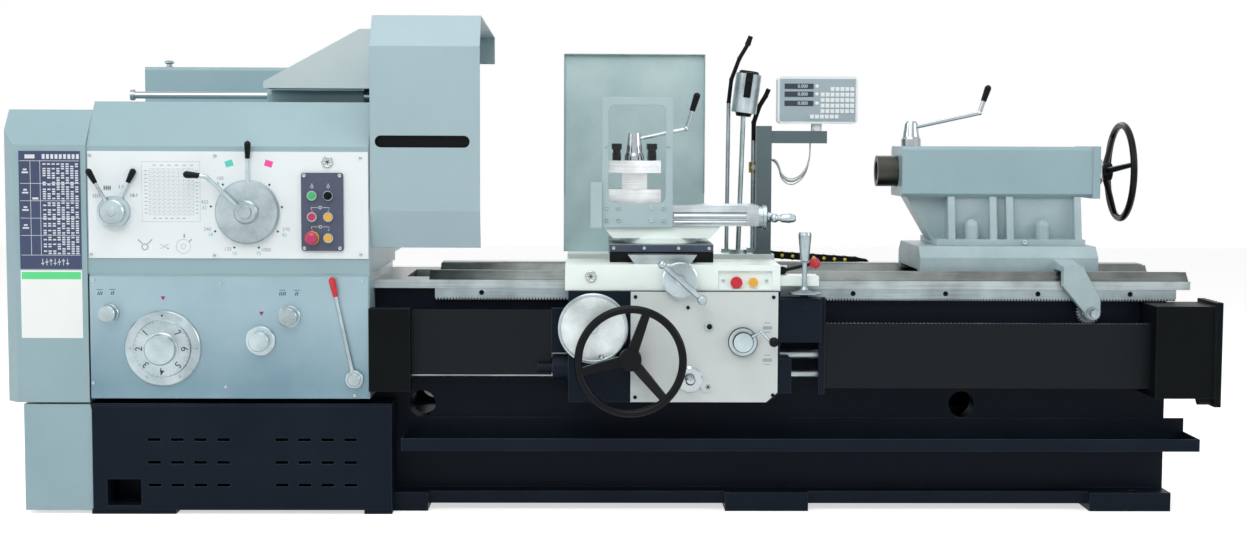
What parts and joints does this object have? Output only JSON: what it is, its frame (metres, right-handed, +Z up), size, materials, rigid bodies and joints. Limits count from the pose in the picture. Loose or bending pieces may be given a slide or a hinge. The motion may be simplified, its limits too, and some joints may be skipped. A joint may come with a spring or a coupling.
{
  "type": "engine lathe",
  "caption": "Long hand-operated engine lathe with geared headstock, chuck guard, carriage with readout, four-way tool post and tailstock on a cast bed.",
  "frame": {"origin": "on the floor at the centre of the outer foundation bolts", "axes": "+X along the bed from the headstock to the tailstock, -Y towards the operator, +Z up"},
  "size_m": [3.705, 1.1224, 1.522],
  "materials": {
    "navy_paint": "satin dark machine enamel",
    "blue_grey_paint": "satin machine enamel",
    "white_paint": "satin off-white enamel",
    "panel_white": "smooth panel",
    "brushed_panel": "brushed sheet",
    "ground_steel": "ground",
    "dark_steel": "dark ground",
    "bright_steel": "polished",
    "black_plastic": "matte",
    "red_plastic": "gloss",
    "grey_plastic": "matte",
    "console_shell": "matte",
    "curtain_sheet": "coated sheet",
    "cable_grey": "matte"
  },
  "bodies": {
    "frame": {"bed_casting": "navy_paint", "head_leg": "navy_paint", "leg_louvre_cover": "navy_paint", "chip_tray": "navy_paint", "gear_rack": "ground_steel", "headstock_housing": "blue_grey_paint", "headstock_panel": "panel_white", "feed_box": "blue_grey_paint", "feed_box_panel": "brushed_panel", "electrical_cabinet": "blue_grey_paint", "button_panel": "grey_plastic", "rod_bracket_right": "navy_paint", "end_cover": "blue_grey_paint", "rod_curtains": "curtain_sheet"},
    "spindle": {"spindle": "ground_steel"},
    "guard": {"chuck_guard": "blue_grey_paint"},
    "range_lever_rear": {"range_lever_rear": "bright_steel"},
    "range_lever_front": {"range_lever_front": "bright_steel"},
    "speed_dial": {"speed_dial": "bright_steel"},
    "speed_lever": {"speed_lever": "bright_steel"},
    "mode_switch": {"mode_switch": "black_plastic"},
    "emergency_stop": {"emergency_stop": "red_plastic"},
    "feed_dial": {"feed_dial": "bright_steel"},
    "feed_knob_left": {"feed_knob_left": "bright_steel"},
    "feed_knob_mid": {"feed_knob_mid": "bright_steel"},
    "feed_knob_right": {"feed_knob_right": "bright_steel"},
    "start_lever": {"start_lever": "bright_steel"},
    "lead_screw": {"lead_screw": "ground_steel"},
    "feed_rod": {"feed_rod": "ground_steel"},
    "control_rod": {"control_rod": "ground_steel"},
    "carriage": {"saddle": "white_paint", "apron_housing": "navy_paint", "apron_plate": "white_paint", "splash_guard": "blue_grey_paint", "readout_stand": "blue_grey_paint", "readout_cable": "cable_grey", "work_lamp": "bright_steel", "coolant_pipe": "bright_steel", "cable_chain": "black_plastic"},
    "readout_console": {"readout_console": "console_shell"},
    "apron_handwheel": {"apron_handwheel": "black_plastic"},
    "travel_dial": {"travel_dial": "ground_steel"},
    "rack_pinion": {"rack_pinion": "ground_steel"},
    "half_nut_lever": {"half_nut_lever": "bright_steel"},
    "feed_joystick": {"feed_joystick": "bright_steel"},
    "carriage_lever": {"carriage_lever": "bright_steel"},
    "cross_slide": {"cross_slide": "ground_steel"},
    "cross_crank": {"cross_crank": "bright_steel"},
    "compound_base": {"compound_base": "white_paint"},
    "compound_slide": {"compound_slide": "ground_steel", "tool_shield": "blue_grey_paint"},
    "compound_crank": {"compound_crank": "bright_steel"},
    "tool_post": {"tool_post": "ground_steel"},
    "tool_post_lever": {"tool_post_lever": "bright_steel"},
    "tailstock": {"tailstock_base": "blue_grey_paint", "tailstock_body": "blue_grey_paint"},
    "quill": {"quill": "dark_steel"},
    "tailstock_handwheel": {"tailstock_handwheel": "black_plastic"},
    "quill_lock_lever": {"quill_lock_lever": "bright_steel"},
    "traverse_shaft": {"traverse_shaft": "ground_steel"}
  },
  "joints": [
    {"name": "spindle_spin", "type": "hinge", "parent": "frame", "child": "spindle", "pos_m": [-1.2, 0, 1.05], "axis": [1, 0, 0], "continuous": true},
    {"name": "guard_hinge", "type": "hinge", "parent": "frame", "child": "guard", "pos_m": [-0.9, 0.06, 1.286], "axis": [-1, 0, 0], "range_deg": [0, 75]},
    {"name": "range_rear_turn", "type": "hinge", "parent": "frame", "child": "range_lever_rear", "pos_m": [-1.575, -0.41, 0.925], "axis": [0, -1, 0], "range_deg": [-25, 25]},
    {"name": "range_front_turn", "type": "hinge", "parent": "frame", "child": "range_lever_front", "pos_m": [-1.575, -0.43, 0.925], "axis": [0, -1, 0], "range_deg": [-25, 25]},
    {"name": "speed_dial_turn", "type": "hinge", "parent": "frame", "child": "speed_dial", "pos_m": [-1.175, -0.41, 0.925], "axis": [0, -1, 0], "range_deg": [-40, 40]},
    {"name": "speed_lever_turn", "type": "hinge", "parent": "frame", "child": "speed_lever", "pos_m": [-1.175, -0.44, 0.925], "axis": [0, -1, 0], "range_deg": [-45, 45]},
    {"name": "mode_switch_turn", "type": "hinge", "parent": "frame", "child": "mode_switch", "pos_m": [-0.931, -0.416, 0.975], "axis": [0, -1, 0], "range_deg": [-45, 45]},
    {"name": "emergency_stop_press", "type": "slide", "parent": "frame", "child": "emergency_stop", "axis": [0, 1, 0], "range_m": [0, 0.004], "stiffness_N_per_m": 1500, "springref_m": -0.002},
    {"name": "feed_dial_turn", "type": "hinge", "parent": "frame", "child": "feed_dial", "pos_m": [-1.436, -0.4, 0.51], "axis": [0, -1, 0], "range_deg": [-150, 150]},
    {"name": "feed_knob_left_turn", "type": "hinge", "parent": "frame", "child": "feed_knob_left", "pos_m": [-1.595, -0.4, 0.617], "axis": [0, -1, 0], "range_deg": [-90, 90]},
    {"name": "feed_knob_mid_turn", "type": "hinge", "parent": "frame", "child": "feed_knob_mid", "pos_m": [-1.14, -0.4, 0.534], "axis": [0, -1, 0], "range_deg": [-90, 90]},
    {"name": "feed_knob_right_turn", "type": "hinge", "parent": "frame", "child": "feed_knob_right", "pos_m": [-1.052, -0.4, 0.608], "axis": [0, -1, 0], "range_deg": [-90, 90]},
    {"name": "lead_screw_spin", "type": "hinge", "parent": "frame", "child": "lead_screw", "pos_m": [0, -0.33, 0.568], "axis": [1, 0, 0], "continuous": true},
    {"name": "feed_rod_spin", "type": "hinge", "parent": "frame", "child": "feed_rod", "pos_m": [0, -0.33, 0.49], "axis": [1, 0, 0], "continuous": true},
    {"name": "control_rod_turn", "type": "hinge", "parent": "frame", "child": "control_rod", "pos_m": [0, -0.33, 0.427], "axis": [1, 0, 0], "range_deg": [-15, 15]},
    {"name": "start_lever_turn", "type": "hinge", "parent": "frame", "child": "start_lever", "pos_m": [-0.856, -0.4, 0.417], "axis": [0, -1, 0], "range_deg": [-16, 16]},
    {"name": "carriage_slide", "type": "slide", "parent": "frame", "child": "carriage", "axis": [1, 0, 0], "range_m": [-0.2, 0.18], "deforming": ["rod_curtains", "cable_chain"]},
    {"name": "readout_console_turn", "type": "hinge", "parent": "carriage", "child": "readout_console", "pos_m": [0.61, 0.155, 1.19], "axis": [0, 0, 1], "range_deg": [-30, 30]},
    {"name": "apron_handwheel_turn", "type": "hinge", "parent": "carriage", "child": "apron_handwheel", "pos_m": [-0.019, -0.44, 0.489], "axis": [0, -1, 0], "range_deg": [-600, 600]},
    {"name": "travel_dial_turn", "type": "hinge", "parent": "carriage", "child": "travel_dial", "pos_m": [-0.131, -0.43, 0.578], "axis": [0, -1, 0], "range_deg": [-170, 170]},
    {"name": "rack_pinion_turn", "type": "hinge", "parent": "carriage", "child": "rack_pinion", "pos_m": [-0.019, -0.29, 0.62375], "axis": [0, -1, 0], "range_deg": [-400, 400]},
    {"name": "half_nut_turn", "type": "hinge", "parent": "carriage", "child": "half_nut_lever", "pos_m": [0.322, -0.44, 0.539], "axis": [0, -1, 0], "range_deg": [-20, 20]},
    {"name": "feed_joystick_tilt", "type": "hinge", "parent": "carriage", "child": "feed_joystick", "pos_m": [0.511, -0.412, 0.647], "axis": [0, -1, 0], "range_deg": [-12, 12]},
    {"name": "carriage_lever_turn", "type": "hinge", "parent": "carriage", "child": "carriage_lever", "pos_m": [0.451, -0.345, 0.749], "axis": [0, -1, 0], "range_deg": [-8, 8]},
    {"name": "cross_slide_move", "type": "slide", "parent": "carriage", "child": "cross_slide", "axis": [0, 1, 0], "range_m": [-0.06, 0.09]},
    {"name": "cross_crank_turn", "type": "hinge", "parent": "carriage", "child": "cross_crank", "pos_m": [0.13, -0.44, 0.727], "axis": [0, -1, 0], "range_deg": [-7000, 7000]},
    {"name": "compound_swivel", "type": "hinge", "parent": "cross_slide", "child": "compound_base", "pos_m": [0.08, -0.165, 0.83], "axis": [0, 0, 1], "range_deg": [-10, 10]},
    {"name": "compound_slide_move", "type": "slide", "parent": "compound_base", "child": "compound_slide", "axis": [1, 0, 0], "range_m": [-0.06, 0.05]},
    {"name": "compound_crank_turn", "type": "hinge", "parent": "compound_slide", "child": "compound_crank", "pos_m": [0.44, -0.165, 0.9048], "axis": [1, 0, 0], "range_deg": [-5000, 5000]},
    {"name": "tool_post_turn", "type": "hinge", "parent": "compound_slide", "child": "tool_post", "pos_m": [-0.002, -0.15, 1], "axis": [0, 0, 1], "continuous": true},
    {"name": "tool_post_lever_turn", "type": "hinge", "parent": "compound_slide", "child": "tool_post_lever", "pos_m": [-0.002, -0.15, 1.12], "axis": [0, 0, 1], "range_deg": [-20, 70]},
    {"name": "tailstock_slide", "type": "slide", "parent": "frame", "child": "tailstock", "axis": [1, 0, 0], "range_m": [-0.08, 0.09]},
    {"name": "quill_slide", "type": "slide", "parent": "tailstock", "child": "quill", "axis": [1, 0, 0], "range_m": [-0.18, 0.06]},
    {"name": "tailstock_handwheel_turn", "type": "hinge", "parent": "tailstock", "child": "tailstock_handwheel", "pos_m": [1.53, 0, 1.05], "axis": [1, 0, 0], "range_deg": [-20000, 20000]},
    {"name": "quill_lock_turn", "type": "hinge", "parent": "tailstock", "child": "quill_lock_lever", "pos_m": [0.9, 0, 1.14], "axis": [0, 0, 1], "range_deg": [-90, 10]},
    {"name": "traverse_turn", "type": "hinge", "parent": "tailstock", "child": "traverse_shaft", "pos_m": [1.415, -0.3, 0.61775], "axis": [0, -1, 0], "range_deg": [-160, 160]}
  ],
  "couplings": [
    {"joint": "start_lever_turn", "follows": "control_rod_turn", "ratio": 1},
    {"joint": "carriage_lever_turn", "follows": "control_rod_turn", "ratio": 0.5},
    {"joint": "travel_dial_turn", "follows": "carriage_slide", "rad_per_m": 13.333},
    {"joint": "rack_pinion_turn", "follows": "carriage_slide", "rad_per_m": 33.333},
    {"joint": "apron_handwheel_turn", "follows": "carriage_slide", "rad_per_m": -50},
    {"joint": "cross_crank_turn", "follows": "cross_slide_move", "rad_per_m": 1256.6},
    {"joint": "compound_crank_turn", "follows": "compound_slide_move", "rad_per_m": 1256.6},
    {"joint": "tailstock_handwheel_turn", "follows": "quill_slide", "rad_per_m": 1256.6},
    {"joint": "traverse_turn", "follows": "tailstock_slide", "rad_per_m": 27.778}
  ]
}
